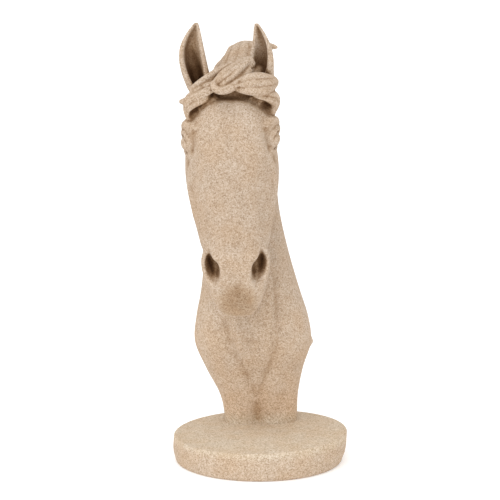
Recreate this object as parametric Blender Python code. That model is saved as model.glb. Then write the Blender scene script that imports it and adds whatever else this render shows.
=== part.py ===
"""Horse head sculpture, cast in one piece with its round base.

Metres, +Z up. The origin is the centre of the base on its underside, -Y is the way the horse looks
and +X is the left side of the horse, which is the right of someone who faces it.
The base has sizes of its own. The figure is a free form: its numbers are millimetres at its real
height, measured from the middle of the base's top, and they all follow FIGURE_HEIGHT.
"""

import math

import bmesh
import bpy
import numpy as np
from mathutils import Matrix, Vector

for leftover in list(bpy.data.objects):
    bpy.data.objects.remove(leftover, do_unlink=True)

# Driving dimensions, in metres
FIGURE_HEIGHT = 0.325  # from the top of the base to the tips of the ears
BASE_DIAMETER = 0.139
BASE_THICKNESS = 0.023
BASE_UNDERSIDE_DIAMETER = 0.1348
BASE_EDGE_ROUND = 0.0022
BASE_TOP_TILT = math.radians(1.5)  # the cast top is a little higher on the +X side
BASE_TOP_ASIDE = 0.0015  # and its centre a little to that side of the underside's

# Shares and counts
MM = FIGURE_HEIGHT / 325.0
SIDES_OF_BASE = 96
SKIN_STEP = 1.5 * MM  # the grain of the clay that the loose forms are joined in
FIGURE_FACES = 8400
SAND = (0.62, 0.49, 0.37, 1.0)


def smooth_row(rows, share):
    """A row between the rows of a table, on a smooth curve through them all."""
    table = np.asarray(rows, dtype=float)
    place = min(max(share, 0.0), 1.0) * (len(table) - 1)
    low = min(int(place), len(table) - 2)
    t = place - low
    before, a, b, after = (table[min(max(low + k, 0), len(table) - 1)] for k in (-1, 0, 1, 2))
    bend = 2 * before - 5 * a + 4 * b - after
    row = a + 0.5 * ((b - before) * t + bend * t**2 + (3 * a - before - 3 * b + after) * t**3)
    return row.tolist()


def drawn_ball(shape, around, along):
    """A closed body: a ball whose rings are drawn out to shape(share along, angle around)."""
    body = bmesh.new()
    ball = bmesh.ops.create_uvsphere(body, u_segments=around, v_segments=along, radius=1.0)
    for vert in ball["verts"]:
        ring = math.acos(max(-1.0, min(1.0, vert.co.z))) / math.pi * along
        share = (ring - 1.0) / (along - 2.0)
        if share < -0.01 or share > 1.01:
            end = min(max(share, 0.0), 1.0)
            vert.co = (Vector(shape(end, 0.0)) + Vector(shape(end, math.pi))) / 2.0
        else:
            vert.co = Vector(shape(share, math.atan2(vert.co.y, vert.co.x)))
    bmesh.ops.recalc_face_normals(body, faces=body.faces[:])
    return body


def oval(angle, front_power, back_power):
    """Across and depth, both -1 to 1, of a rounded outline: power 2 is an ellipse, more is squarer."""
    across, depth = math.cos(angle), math.sin(angle)
    power = 2.0 / (back_power if depth > 0.0 else front_power)
    return (
        math.copysign(abs(across) ** power, across),
        math.copysign(abs(depth) ** power, depth),
    )


# Head: the place of the poll, and how the head hangs from it
POLL = Vector((-26.5, -22.0, 295.8))
NOSE_FORWARD = math.radians(15.0)
NOSE_ASIDE = math.radians(2.7)
ROLL = Matrix.Rotation(-NOSE_ASIDE, 3, "Y")
HEAD_ACROSS = ROLL @ Vector((1.0, 0.0, 0.0))
HEAD_BACK = ROLL @ Vector((0.0, math.cos(NOSE_FORWARD), -math.sin(NOSE_FORWARD)))
HEAD_DOWN = ROLL @ Vector((0.0, -math.sin(NOSE_FORWARD), -math.cos(NOSE_FORWARD)))

# Down the face, front, depth of the widest place, back of the jaw, half width, squareness front, back
HEAD_SECTIONS = (
    (1, 13, 30, 50, 9, 2.0, 2.0),
    (7, 4, 28, 62, 18, 2.0, 2.0),
    (14, -1, 27, 73, 27, 2.2, 2.0),
    (28, -4.5, 27, 80, 31.5, 2.5, 2.0),
    (44, -6.5, 28, 83, 34, 2.8, 2.0),
    (60, -6.5, 34, 83, 34.8, 2.7, 2.2),
    (78, -4.5, 41, 79.5, 36.2, 2.3, 2.4),
    (94, -2, 40, 72, 35.2, 2.1, 2.3),
    (110, 0, 36, 63, 32.3, 2.0, 2.2),
    (126, 0.5, 30.5, 55, 28.8, 2.0, 2.1),
    (140, 0, 26, 49, 26, 2.1, 2.1),
    (152, -0.5, 23.5, 46.5, 25.4, 2.3, 2.1),
    (162, 1.5, 24, 46, 24.3, 2.4, 2.1),
    (173, 6.5, 26, 46, 21.6, 2.4, 2.1),
    (183, 14, 29, 44.5, 17.8, 2.2, 2.0),
    (190.5, 22.5, 32, 41, 12, 2.0, 2.0),
    (192.5, 27, 32.5, 38, 6, 2.0, 2.0),
)

# Throat side (y, z), crest side (y, z), middle, half width, share of depth at the widest, squareness
NECK_SECTIONS = (
    (20, 256, -6, 290, -23, 20, 0.5, 2.0, 2.0),
    (29, 250, 16, 299, -18.5, 21, 0.5, 2.0, 2.0),
    (33, 243, 44, 306.5, -13, 21.5, 0.5, 2.0, 2.0),
    (36, 234, 73, 301, -12, 23, 0.48, 2.0, 1.9),
    (38, 223, 95, 283, -13, 25, 0.46, 2.0, 1.8),
    (37, 209, 107, 254, -14.5, 27, 0.45, 2.0, 1.8),
    (33, 192, 112.5, 219, -15, 28.5, 0.44, 2.1, 1.8),
    (25, 170, 112, 181, -15.2, 30.5, 0.44, 2.1, 1.8),
    (13, 143, 106, 142, -11.8, 34, 0.44, 2.2, 1.9),
    (1, 114, 98, 106, -8.3, 39.9, 0.45, 2.2, 2.0),
    (-4, 91, 91, 82, -6.6, 45.8, 0.46, 2.2, 2.0),
    (-2, 69, 83, 63, -6.0, 47.6, 0.47, 2.2, 2.0),
    (6, 46, 74.5, 43, -4.8, 40.0, 0.48, 2.4, 2.2),
    (14.5, 24, 67, 24, -1.3, 32.6, 0.5, 3.0, 2.6),
    (20, 8, 62, 8, 0.3, 30.2, 0.5, 3.6, 3.0),
    (21.5, -8, 61, -8, 0.5, 30, 0.5, 3.6, 3.0),
)


def on_head(across, back, down):
    """A place given in the head's own directions, from the poll."""
    return POLL + across * HEAD_ACROSS + back * HEAD_BACK + down * HEAD_DOWN


def head_skin(share, angle):
    down, front, widest, back, half, front_power, back_power = smooth_row(HEAD_SECTIONS, share)
    across, depth = oval(angle, front_power, back_power)
    reach = back - widest if depth > 0.0 else widest - front
    return on_head(across * half, widest + depth * reach, down)


def neck_skin(share, angle):
    """A place on the neck: angle 0 is its +X side, 90 degrees its crest, -90 its throat."""
    throat_y, throat_z, crest_y, crest_z, middle, half, widest, front_power, back_power = smooth_row(
        NECK_SECTIONS, share
    )
    across, depth = oval(angle, front_power, back_power)
    part = widest + depth * (1.0 - widest if depth > 0.0 else widest)
    return Vector((
        middle + across * half,
        throat_y + part * (crest_y - throat_y),
        throat_z + part * (crest_z - throat_z),
    ))


# Ears: a tapered leaf rolled into a scoop, given from the root to the tip
# Outer half width, inner half width, outer depth, inner depth, wrap of the rims in degrees
EAR_ROUNDS = (
    (4.8, 1.2, 5.0, 1.6, 168),
    (8.8, 3.2, 10.2, 5.0, 152),
    (10.9, 4.9, 11.8, 7.8, 126),
    (11.5, 5.6, 11.8, 8.4, 110),
    (11.6, 5.5, 11.0, 8.0, 101),
    (10.4, 4.7, 9.0, 6.4, 95),
    (7.9, 3.2, 6.8, 4.6, 88),
    (5.6, 1.6, 4.6, 2.6, 80),
    (3.2, 0.6, 3.0, 1.0, 70),
)
RIGHT_EAR_PATH = (
    (-42, 2, 261), (-47, -3, 272), (-49.6, -5.5, 282.5), (-51.7, -6.5, 291.5), (-53, -7, 299.5),
    (-53.3, -7, 307.5), (-52.3, -6.5, 316), (-50.9, -6, 322.5), (-49.7, -5.5, 327.3),
)
LEFT_EAR_PATH = (
    (-3.6, 0, 262), (-0.4, -3.5, 274), (0, -5.5, 284.5), (0.2, -6.5, 293), (0, -7, 300),
    (-0.3, -7, 307.7), (-1.5, -6.5, 316), (-3.1, -6, 322.5), (-4.1, -5.5, 327.3),
)
# The outer rim of the left ear folds over its scoop
EAR_FLAP = ((7, -13.5, 301.5), (7.4, -15.5, 298), (7.2, -16, 293), (6.6, -16, 288), (5.6, -14, 282.5))
EAR_FLAP_WIDTHS = (3, 5.5, 6, 6, 4)


def ear(path, turn, width_share):
    """One ear along its path, with its opening turned from straight ahead by an angle."""
    opening_right = Vector((math.cos(turn), math.sin(turn), 0.0))
    opening_back = Vector((-math.sin(turn), math.cos(turn), 0.0))

    def skin(share, angle):
        outer, inner, outer_depth, inner_depth, wrap = smooth_row(EAR_ROUNDS, share)
        wall = (1.0 + math.copysign(abs(math.sin(angle)) ** 0.45, math.sin(angle))) / 2.0
        bend = math.radians(wrap) * math.cos(angle)
        right = (inner + wall * (outer - inner)) * width_share * math.sin(bend)
        back = (inner_depth + wall * (outer_depth - inner_depth)) * math.cos(bend)
        return Vector(smooth_row(path, share)) + right * opening_right + back * opening_back

    return drawn_ball(skin, 32, 26)


def lock(path, widths, thickness, hub, strands=3, ridge=0.16):
    """A lock of hair: a flattened, ridged tongue along a path, lying flat round the hub."""

    def skin(share, angle):
        place = Vector(smooth_row(path, share))
        ahead = Vector(smooth_row(path, min(share + 0.04, 1.0)))
        behind = Vector(smooth_row(path, max(share - 0.04, 0.0)))
        tangent = (ahead - behind).normalized()
        lift = place - Vector(hub)
        lift = (lift - lift.dot(tangent) * tangent).normalized()
        side = tangent.cross(lift)
        width = float(smooth_row([(w,) for w in widths], share)[0])
        across, up = math.cos(angle), math.sin(angle)
        grooves = 1.0 - ridge * abs(math.sin(strands * math.pi * across / 2.0))
        height = thickness * min(1.0, width / max(widths)) ** 0.5
        return place + side * (across * width / 2.0) + lift * (up * height / 2.0 * grooves)

    return drawn_ball(skin, 24, 22)


EYE_PLACE = (26.5, 16.0, 56.0)
EYE_RADIUS = 9.8
FORELOCK_HUB = (-26.5, 6, 268)
CREST_HUB = (-16, 22, 272)
# Hair between the ears, from the crest forward: y, middle, half width, middle height, rise to the top
POLL_OVALS = (
    (44, -12, 20, 284, 15),
    (36, -11, 22.5, 284, 24),
    (28, -10.5, 24, 282, 28.5),
    (16, -12.5, 24, 280, 25.5),
    (4, -15, 24.5, 277, 22),
    (-8, -17, 25.5, 273, 19.5),
    (-18, -19, 26, 269.5, 18),
    (-25, -21, 26.5, 272, 13),
    (-30, -21.5, 25, 276.5, 7.5),
    (-35, -22, 20, 279, 4),
)
# Path from the root to the tip, widths along it, thickness, strands
FORELOCK = (
    (
        (
            (-2.3, -8, 300.1), (-8.1, -17, 295.9), (-13.8, -24, 292), (-19.5, -30, 288.1),
            (-25.5, -34.5, 283.8), (-31.6, -36, 279.3),
        ),
        (8, 11.5, 14.5, 16.5, 16.5, 12), 13, 4,
    ),
    (
        (
            (-5.4, -20.5, 297.2), (-11.5, -27.5, 292.9), (-17.6, -33.5, 288.3), (-24, -37.8, 283.6),
            (-30.4, -40, 278.8),
        ),
        (4, 5, 5.5, 5, 4), 7, 1,
    ),
    (
        (
            (-5, -21.5, 291.9), (-11.1, -30, 286.6), (-17.5, -36.5, 281.2), (-23.9, -41, 276.9),
            (-30.7, -42.5, 275.5), (-35.1, -41, 277.5), (-36.1, -37.5, 281.3),
        ),
        (5, 6, 6.5, 7, 6.5, 6, 4), 9, 2,
    ),
    (
        (
            (-17.7, -17, 292), (-24.5, -21, 291.1), (-31.8, -25, 288.6), (-39, -27.5, 284.5),
            (-46.6, -27.5, 279.6), (-54, -25.5, 274.5),
        ),
        (7, 8.5, 8, 7.5, 7, 5), 10, 1,
    ),
    (
        (
            (-26.8, -27, 282.6), (-35.1, -29, 279.7), (-42.8, -29.5, 275.5), (-49.7, -28.5, 272),
            (-56.7, -26, 268.8),
        ),
        (9, 11, 11, 10, 6), 9, 2,
    ),
    (
        (
            (-31.3, -33, 276.9), (-38.9, -34.5, 274.3), (-46.5, -33.5, 270.8), (-53.9, -29.5, 268.1),
            (-62.2, -23.5, 266.8),
        ),
        (7, 8.5, 8.5, 7.5, 3), 9, 2,
    ),
    (
        (
            (-33.6, -32, 272.2), (-41.9, -34, 269.7), (-49.6, -32.5, 267), (-55.5, -29, 263.3),
            (-56.7, -26, 258.5), (-56.4, -24.5, 253.4),
        ),
        (6, 9.5, 11, 11, 9, 4), 9, 2,
    ),
    (
        (
            (-23.7, -33, 277.6), (-15.3, -37, 278.6), (-8.4, -38.5, 279.8), (-1.6, -36.5, 280.1),
            (4.1, -31.5, 280.2), (8, -25, 280.6), (10.8, -19, 280.7),
        ),
        (8, 13, 17.5, 18.5, 16.5, 12.5, 7), 12, 3,
    ),
    (
        (
            (-8.4, -35, 270.9), (-1.6, -34, 270.5), (4.1, -30, 269.8), (9.6, -25, 268.2),
            (10.9, -21.5, 263.3), (9.2, -20.5, 257),
        ),
        (4, 8, 11, 11.5, 8, 4), 11, 2,
    ),
)
POLL_HAIR = (
    (((-8, 26, 306), (0, 26, 306.6), (7, 27, 305.4), (15, 28, 304.6)), (12, 12, 8.5, 2), 9, 2),
    (
        ((-23, 26, 297), (-12, 30, 302.5), (-2, 31, 299.5), (4, 32, 288), (7, 34, 272)),
        (10, 17, 19, 16, 4), 10, 4,
    ),
    (((-27, 14, 289), (-35, 14, 284), (-41, 13, 275)), (9, 12, 4), 8, 2),
    (((-26, 32, 296), (-33, 32, 288), (-37, 32, 277)), (9, 13, 4), 8, 2),
)
MANE_LOCKS = 10
FALLEN_LOCK_WIDTHS = (13, 22, 24, 18, 3)
END_LOCK_WIDTHS = (13, 20, 19, 12, 2)
PARTED_LOCK_WIDTHS = (9, 13, 10, 3)
END_LOCK = ((0.56, 84), (0.62, 68), (0.68, 48), (0.725, 28), (0.753, 8))


def poll_skin(share, angle):
    """A place on the hair between the ears."""
    y, middle, half, level, rise = smooth_row(POLL_OVALS, share)
    return Vector((middle + half * math.cos(angle), y, level + rise * math.sin(angle)))


def mane_lock(number, fallen):
    """A lock rooted on the crest: a long one that falls on the +X side, or a short parted one."""
    root = 0.13 + 0.05 * number
    reach = 0.12 + 0.012 * math.cos(2.3 * number) if fallen else 0.06
    sweep = 64.0 + 8.0 * math.sin(1.7 * number) if fallen else -34.0
    widths = FALLEN_LOCK_WIDTHS if fallen else PARTED_LOCK_WIDTHS
    path = []
    for step in range(len(widths)):
        part = step / (len(widths) - 1.0)
        angle = math.radians(97.0 - sweep * part**0.85)
        path.append(neck_skin(root + reach * part**1.2, angle))
    return lock(path, widths, 10 if fallen else 7, neck_middle(root + reach / 2.0), 4 if fallen else 2)


def end_lock():
    """The last lock of the mane, whose tip stands out as a corner at the widest of the neck."""
    path = [neck_skin(share, math.radians(angle)) for share, angle in END_LOCK]
    return lock(path, END_LOCK_WIDTHS, 8, neck_middle(0.66), 4)


def neck_middle(share):
    return (neck_skin(share, 0.0) + neck_skin(share, math.pi)) / 2.0


def figure_bodies():
    """Every loose form of the figure, before they are joined."""
    bodies = [
        drawn_ball(head_skin, 48, 44),
        drawn_ball(neck_skin, 48, 44),
        ear(RIGHT_EAR_PATH, math.radians(6.0), 1.0),
        ear(LEFT_EAR_PATH, math.radians(-24.0), 0.86),
        lock(EAR_FLAP, EAR_FLAP_WIDTHS, 4.5, (0, -4, 291), 1, 0.0),
        drawn_ball(poll_skin, 36, 24),
    ]
    for path, widths, thickness, strands in FORELOCK:
        bodies.append(lock(path, widths, thickness, FORELOCK_HUB, strands))
    for path, widths, thickness, strands in POLL_HAIR:
        bodies.append(lock(path, widths, thickness, CREST_HUB, strands))
    for number in range(MANE_LOCKS):
        bodies.append(mane_lock(number, True))
        bodies.append(mane_lock(number, False))
    bodies.append(end_lock())
    for side in (-1.0, 1.0):
        eye = bmesh.new()
        place = Matrix.Translation(on_head(side * EYE_PLACE[0], EYE_PLACE[1], EYE_PLACE[2]))
        bmesh.ops.create_uvsphere(eye, u_segments=24, v_segments=16, radius=EYE_RADIUS, matrix=place)
        bodies.append(eye)
    return bodies


def object_from(name, body):
    mesh = bpy.data.meshes.new(name)
    body.to_mesh(mesh)
    body.free()
    shape = bpy.data.objects.new(name, mesh)
    bpy.context.collection.objects.link(shape)
    return shape


def evaluated(shape):
    """The mesh of an object with its modifiers applied, put in their place."""
    depsgraph = bpy.context.evaluated_depsgraph_get()
    mesh = bpy.data.meshes.new_from_object(shape.evaluated_get(depsgraph))
    shape.modifiers.clear()
    shape.data = mesh
    return shape


def joined_in_clay(name, bodies):
    """One body with one skin, from loose forms that run into each other."""
    everything = bmesh.new()
    for body in bodies:
        part = bpy.data.meshes.new("loose form")
        body.to_mesh(part)
        body.free()
        everything.from_mesh(part)
        bpy.data.meshes.remove(part)
    bmesh.ops.scale(everything, vec=(MM, MM, MM), verts=everything.verts[:])
    figure = object_from(name, everything)
    clay = figure.modifiers.new("clay", "REMESH")
    clay.mode = "VOXEL"
    clay.voxel_size = SKIN_STEP
    clay.adaptivity = 0.0
    soften = figure.modifiers.new("soften", "SMOOTH")
    soften.factor = 0.5
    soften.iterations = 3
    return evaluated(figure)


class Clay:
    """The joined skin under the sculptor's hands: places and normals, in millimetres."""

    def __init__(self, mesh):
        self.mesh = mesh
        self.places = np.empty(len(mesh.vertices) * 3, dtype=np.float32)
        mesh.vertices.foreach_get("co", self.places)
        self.places = self.places.reshape(-1, 3).astype(float) / MM
        self.find_normals()

    def find_normals(self):
        self.mesh.vertices.foreach_set("co", (self.places * MM).astype(np.float32).ravel())
        self.mesh.update()
        normals = np.empty(len(self.mesh.vertices) * 3, dtype=np.float32)
        self.mesh.vertex_normals.foreach_get("vector", normals)
        self.normals = normals.reshape(-1, 3).astype(float)

    def head_places(self):
        offset = self.places - np.array(POLL)
        axes = np.array([HEAD_ACROSS, HEAD_BACK, HEAD_DOWN])
        return offset @ axes.T

    def press(self, places, centre, radii, height):
        """Swells the skin round a centre by a height, or sinks it where that is negative."""
        far = np.sum(((places - np.array(centre)) / np.array(radii)) ** 2, axis=1)
        self.places += self.normals * (height * np.exp(-far))[:, None]

    def soften(self, places, centre, radii, rounds):
        """Smooths the skin round a centre, as a thumb does."""
        far = np.sum(((places - np.array(centre)) / np.array(radii)) ** 2, axis=1)
        strength = (0.7 * np.exp(-(far**2)))[:, None]
        ends = np.empty(len(self.mesh.edges) * 2, dtype=np.int32)
        self.mesh.edges.foreach_get("vertices", ends)
        ends = np.concatenate([ends.reshape(-1, 2), ends.reshape(-1, 2)[:, ::-1]])
        near = np.bincount(ends[:, 0], minlength=len(places))[:, None]
        for _ in range(rounds):
            total = np.empty_like(self.places)
            for axis in range(3):
                total[:, axis] = np.bincount(ends[:, 0], self.places[ends[:, 1], axis], len(places))
            self.places += strength * (total / near - self.places)

    def bore(self, places, centre, across, down, radii, inward, depth):
        """Sinks a hole with a firm rim: an oval across and down its opening, driven inward."""
        offset = places - np.array(centre)
        far = (offset @ np.array(across) / radii[0]) ** 2 + (offset @ np.array(down) / radii[1]) ** 2
        near = np.sum(offset**2, axis=1) < (2.2 * max(radii)) ** 2
        self.places += np.array(inward) * (depth * near * np.exp(-(far**3)))[:, None]

    def stroke(self, places, *paths):
        """Draws ridges, or grooves where heights are negative: rows of a place, width and height.

        Where paths meet, only the strongest counts, so that a meeting is no deeper than its strokes.
        """
        strongest = np.zeros(len(places))
        for path in paths:
            rows = np.array(path, dtype=float)
            for start, end in zip(rows[:-1], rows[1:]):
                run = (end - start)[:3]
                share = np.clip((places - start[:3]) @ run / (run @ run), 0.0, 1.0)
                foot = start + share[:, None] * (end - start)
                far = np.sum((places - foot[:, :3]) ** 2, axis=1) / foot[:, 3] ** 2
                height = foot[:, 4] * np.exp(-far)
                strongest = np.where(np.abs(height) > np.abs(strongest), height, strongest)
        self.places += self.normals * strongest[:, None]


def both(side, places):
    """The places with their across part mirrored for the horse's right side."""
    return places * np.array([side, 1.0, 1.0])


# On the head, rows are: across, back, down, width, height
BROW = ((27, 2.5, 49, 3, 1.2), (31.5, 7.5, 45, 3.6, 3), (35.5, 15, 43.5, 4, 3.4), (37, 26, 47, 4, 1.6))
UPPER_LID = ((31.5, 5, 64, 1.8, 1), (34, 8, 57, 2, 2), (36.7, 14, 50.8, 2, 2.4), (37.4, 23, 50, 2, 2))
LOWER_LID = ((31, 6, 71, 1.8, 1.2), (34.5, 13, 71.3, 2, 1.8), (36.3, 21, 67, 2, 1.6), (36.8, 28, 60.5, 2, 0.8))
EYE_HOLLOW = (
    (24, 0, 42, 4.5, -1.2), (27, 3, 52, 5, -3.2), (29.5, 6, 59, 4.5, -3.8), (31.5, 8.5, 65, 3.5, -4.2),
)
FACIAL_CREST = ((32, 14, 75, 4, 1), (34, 24, 92, 5, 1.8), (31, 26, 112, 5, 1.0))
NOSE_GROOVE = ((0, -8, 40, 7, -0.6), (0, -4, 90, 7, -1.2), (0, -1, 140, 6, -0.6))
JAW_GROOVE = ((22, 56, 96, 4.5, -1.2), (20, 44, 126, 4.5, -1.8), (20, 38, 144, 4.5, -1.2))
MOUTH = (
    (0, 31, 193, 1.9, -3), (10, 32, 187, 1.9, -3), (16, 34, 176, 1.9, -3), (20.5, 36, 164, 1.9, -2.6),
    (23, 36.5, 154, 1.9, -1.6),
)
NOSTRIL = (20.0, 2.4, 157.5)
NOSTRIL_ACROSS = (0.74, 0.66, 0.10)
NOSTRIL_DOWN = (-0.19, 0.09, 0.98)
NOSTRIL_RADII = (5.8, 10.8)
NOSTRIL_INWARD = (-0.2, 0.9, -0.4)

# Under the hair, rows are: x, y, z, width, height
UNDER_FORELOCK = (
    (-54.5, -29, 252.6, 2.4, -1.6), (-49.7, -31.5, 259.9, 2.4, -3), (-42.7, -34, 265.1, 2.6, -3.6),
    (-36.6, -35, 269, 2.8, -4), (-29, -35.5, 270.2, 2.8, -4.4), (-19.1, -35.5, 270, 2.8, -4.4),
    (-8.4, -35, 269.4, 2.8, -4.2), (-1.6, -33.5, 266.8, 2.6, -3.8), (3.8, -30.5, 262.8, 2.4, -3.2),
    (7.2, -27, 257.6, 2.4, -2),
)


def carve_head(clay):
    head_axes = np.array([HEAD_ACROSS, HEAD_BACK, HEAD_DOWN])
    for side in (-1.0, 1.0):
        head = both(side, clay.head_places())
        clay.soften(head, (27, 26, 36), (13, 18, 11), 14)  # root of the ear
        clay.soften(head, (24, 74, 52), (20, 12, 34), 8)  # crease between jaw and neck
        clay.find_normals()
        clay.press(head, (34, 20, 53.6 - 0.8 * side), (9, 12, 11), 3.2 + 0.6 * side)  # orbit
        clay.press(head, (26, 6, 32), (8, 9, 12), -2.4)  # hollow above the eye
        clay.stroke(head, EYE_HOLLOW)
        clay.press(head, (36, 20, 73), (8, 12, 4), -1.4)  # notch under the eye
        clay.find_normals()
        head = both(side, clay.head_places())
        clay.stroke(head, BROW)
        clay.stroke(head, UPPER_LID, LOWER_LID)
        clay.press(head, (30.5, 4, 68.5), (3, 4, 3.5), -2.6)  # inner corner of the eye
        clay.stroke(head, FACIAL_CREST)
        clay.press(head, (31, 54, 60), (14, 20, 22), 2.0)  # cheek muscle
        clay.stroke(head, JAW_GROOVE)
        clay.press(head, (28, 8, 122), (7, 12, 16), -1.2)  # flat of the nose beside the bone
        clay.press(head, (25, 14, 153), (6, 11, 13), 1.8)  # wing of the nostril
        clay.press(head, (13, -4, 150), (5, 6, 13), 1.2)  # inner rim of the nostril
        clay.find_normals()
        head = both(side, clay.head_places())
        inward = both(side, np.array(NOSTRIL_INWARD)) @ head_axes
        clay.bore(head, NOSTRIL, NOSTRIL_ACROSS, NOSTRIL_DOWN, NOSTRIL_RADII, inward, 11.0)
        clay.stroke(head, MOUTH)
    clay.stroke(clay.places, UNDER_FORELOCK)
    clay.find_normals()
    head = clay.head_places()
    clay.stroke(head, NOSE_GROOVE)
    clay.press(head, (0, 8, 176), (9, 10, 12), -1.6)  # hollow front of the upper lip
    clay.press(head, (0, 43, 178), (11, 7, 9), 2.0)  # chin
    clay.press(head, (0, 82, 66), (7, 14, 40), -3.5)  # between the jaw bones
    clay.find_normals()


# On the neck, rows are: x, y, z, width, height; all three end in one recess above the base
RIGHT_THROAT_GROOVE = (
    (-28.3, 0, 104, 4, -1.5), (-27, 0.5, 86, 4, -4.2), (-24.5, 1.5, 74, 4, -4.6),
    (-19.7, 4, 61, 4, -4.4), (-12.5, 9, 46, 4.2, -4), (-5, 14, 33, 4.6, -3.8), (-2.5, 18, 22, 5, -4),
)
LEFT_THROAT_GROOVE = (
    (12.5, 30, 179, 4, -2.5), (13, 14, 145, 4, -4), (13.8, 2, 115, 4, -4.4), (13.8, -2, 89, 4, -4.4),
    (13, 1, 70, 4, -4.2), (7.5, 6, 52, 4.2, -4), (1.5, 12, 36, 4.4, -3.8), (-2.5, 18, 22, 5, -4),
)
FOOT_RECESS = (
    (-2.5, 18, 22, 5, -4), (-2.2, 20, 12, 6, -5.5), (-2.0, 22, 4, 6.5, -6), (-2.0, 24, -6, 6, -5),
)
THROAT_PANEL = ((-6, -2, 100, 11, -1.6), (-6, 0, 74, 10, -2.2), (-4, 8, 48, 6, -1.6))


def carve_neck(clay):
    clay.stroke(clay.places, THROAT_PANEL)
    clay.find_normals()
    clay.stroke(clay.places, RIGHT_THROAT_GROOVE, LEFT_THROAT_GROOVE, FOOT_RECESS)
    clay.press(clay.places, (41.8, 40, 65.5), (4, 9, 4), 1.8)  # corner where the mane ends
    clay.find_normals()


def sculpted_figure():
    figure = joined_in_clay("figure", figure_bodies())
    clay = Clay(figure.data)
    carve_head(clay)
    carve_neck(clay)
    again = figure.modifiers.new("clay", "REMESH")
    again.mode = "VOXEL"
    again.voxel_size = SKIN_STEP
    evaluated(figure)
    fewer = figure.modifiers.new("facets", "DECIMATE")
    fewer.ratio = min(1.0, FIGURE_FACES / (2.0 * len(figure.data.polygons)))
    fewer.use_collapse_triangulate = True
    return evaluated(figure)


def turned_base():
    """The round base, turned from its profile, with its top cut at a slight tilt."""
    rim = BASE_DIAMETER / 2.0
    underside = BASE_UNDERSIDE_DIAMETER / 2.0
    edge = BASE_EDGE_ROUND
    lean = math.tan(BASE_TOP_TILT)
    body = bmesh.new()
    profile = (
        (underside - edge, 0.0),
        (underside - 0.3 * edge, 0.3 * edge),
        (underside, edge),
        (rim - 0.3 * edge, BASE_THICKNESS * 0.34),
        (rim, BASE_THICKNESS * 0.5),
        (rim, BASE_THICKNESS - edge),
        (rim - 0.3 * edge, BASE_THICKNESS - 0.3 * edge),
        (rim - edge, BASE_THICKNESS),
    )
    ring = bmesh.ops.create_circle(body, segments=SIDES_OF_BASE, radius=profile[0][0], cap_ends=True)
    edges = list({edge_of for vert in ring["verts"] for edge_of in vert.link_edges})
    for (radius, height), (next_radius, next_height) in zip(profile, profile[1:]):
        grown = bmesh.ops.extrude_edge_only(body, edges=edges)["geom"]
        verts = [part for part in grown if isinstance(part, bmesh.types.BMVert)]
        edges = [part for part in grown if isinstance(part, bmesh.types.BMEdge)]
        share = next_radius / radius
        bmesh.ops.scale(body, vec=(share, share, 1.0), verts=verts)
        bmesh.ops.translate(body, vec=(0.0, 0.0, next_height - height), verts=verts)
    bmesh.ops.contextual_create(body, geom=edges)
    for vert in body.verts:
        up = vert.co.z / BASE_THICKNESS
        vert.co.z += vert.co.x * lean * up**2
        vert.co.x += BASE_TOP_ASIDE * up
    bmesh.ops.recalc_face_normals(body, faces=body.faces[:])
    return object_from("horse_head_sculpture", body)


def stone_material():
    stone = bpy.data.materials.new("cast sandstone")
    stone.use_nodes = True
    shader = stone.node_tree.nodes["Principled BSDF"]
    shader.inputs["Base Color"].default_value = SAND
    shader.inputs["Roughness"].default_value = 0.9
    shader.inputs["Metallic"].default_value = 0.0
    return stone


figure_form = sculpted_figure()
figure_form.location = (BASE_TOP_ASIDE, 0.0, BASE_THICKNESS)
figure_form.hide_render = True
figure_form.display_type = "WIRE"

sculpture = turned_base()
sculpture.data.materials.append(stone_material())
fused = sculpture.modifiers.new("figure", "BOOLEAN")
fused.operation = "UNION"
fused.solver = "EXACT"
fused.object = figure_form
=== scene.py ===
import math

import bmesh
import bpy
import numpy as np
from mathutils import Matrix, Vector
from mathutils.bvhtree import BVHTree


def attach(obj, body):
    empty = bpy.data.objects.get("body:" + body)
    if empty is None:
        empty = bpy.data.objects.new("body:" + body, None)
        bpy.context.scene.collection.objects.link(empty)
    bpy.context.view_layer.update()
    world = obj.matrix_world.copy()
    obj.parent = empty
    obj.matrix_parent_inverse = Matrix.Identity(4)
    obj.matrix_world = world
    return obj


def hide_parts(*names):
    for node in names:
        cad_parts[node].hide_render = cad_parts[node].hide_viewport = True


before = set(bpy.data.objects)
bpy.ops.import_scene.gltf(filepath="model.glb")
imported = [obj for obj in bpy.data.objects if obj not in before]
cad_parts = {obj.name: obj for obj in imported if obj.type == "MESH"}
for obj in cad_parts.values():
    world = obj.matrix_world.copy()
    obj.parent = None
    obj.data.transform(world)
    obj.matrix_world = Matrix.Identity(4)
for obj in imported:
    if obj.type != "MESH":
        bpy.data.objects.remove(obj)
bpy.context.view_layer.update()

# The round base
# A low disc, 139 mm across, that carries the neck and is cast in one with it from sand-filled resin.
# The mould has rounded its edges, and its top is a little higher on the side where the mane falls.
# Lengths from here on are millimetres from the middle of the base's top, as the sculptor measures.
BASE_THICKNESS = 23.0
BASE_RADIUS = 69.5
UNDERSIDE_RADIUS = 67.2
UNDERSIDE_ASIDE = -1.5
TOP_EDGE_ROUND = 1.3
TOP_EDGE_STEPS = 5
LOWER_EDGE_ROUND = 2.6
LOWER_EDGE_STEPS = 4
# Where the side swells out to the full radius: how far short of it, at which share of the thickness
SIDE_SWELL = ((0.6, 0.34), (0.0, 0.52))
TOP_TILT = math.tan(math.radians(1.5))
SIDES_OF_BASE = 180


def quarter_round(steps):
    """The sine and cosine at even steps through a right angle."""
    turns = [math.pi / 2.0 * step / steps for step in range(steps + 1)]
    return [(math.sin(turn), math.cos(turn)) for turn in turns]


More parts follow.
